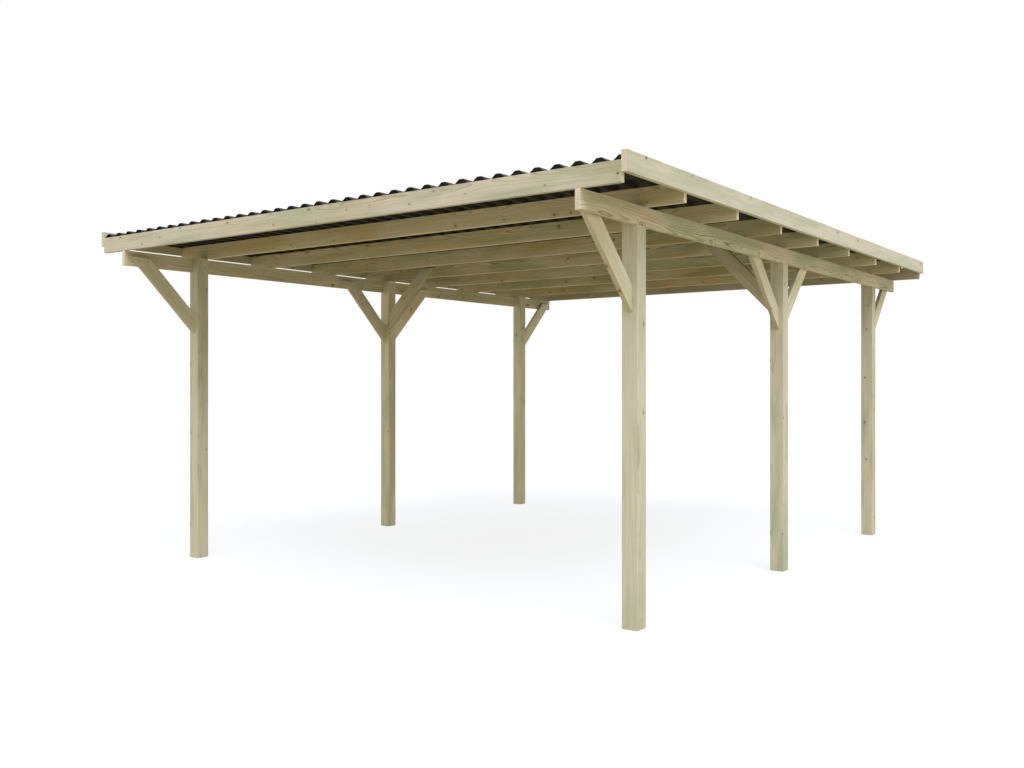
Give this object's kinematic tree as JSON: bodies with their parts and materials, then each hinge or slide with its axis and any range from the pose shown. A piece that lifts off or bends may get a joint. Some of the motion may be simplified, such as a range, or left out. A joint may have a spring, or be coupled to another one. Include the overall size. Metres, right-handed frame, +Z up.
{
  "type": "carport",
  "caption": "Open timber carport with square notched posts, 45 degree knee braces, cross joists and a flat corrugated sheet roof between side fascias.",
  "frame": {"origin": "on the ground under the middle of the roof", "axes": "+Z up, -Y towards the open front, +X towards the right-hand post row seen from the front"},
  "size_m": [4.14, 5.106, 2.289],
  "materials": {
    "timber": "planed, pressure-treated softwood, matt",
    "facing_timber": "planed, pressure-treated softwood, matt, paler",
    "roof_sheet": "anthracite coating, satin"
  },
  "bodies": {
    "root": {"post_front_left": "timber", "post_middle_left": "timber", "post_rear_left": "timber", "post_front_right": "timber", "post_middle_right": "timber", "post_rear_right": "timber", "beam_left": "timber", "beam_right": "timber", "front_board": "facing_timber", "joist_1": "timber", "joist_2": "timber", "joist_3": "timber", "joist_4": "timber", "joist_5": "timber", "joist_6": "timber", "joist_7": "timber", "rear_board": "facing_timber", "fascia_left": "facing_timber", "fascia_right": "facing_timber", "brace_front_left": "timber", "brace_front_right": "timber", "brace_middle_left_fore": "timber", "brace_middle_right_fore": "timber", "brace_middle_left_aft": "timber", "brace_middle_right_aft": "timber", "brace_rear_left": "timber", "brace_rear_right": "timber", "brace_cross_left": "timber", "brace_cross_right": "timber", "roof_sheet_1": "roof_sheet", "roof_sheet_2": "roof_sheet", "roof_sheet_3": "roof_sheet", "roof_sheet_4": "roof_sheet"}
  },
  "joints": []
}
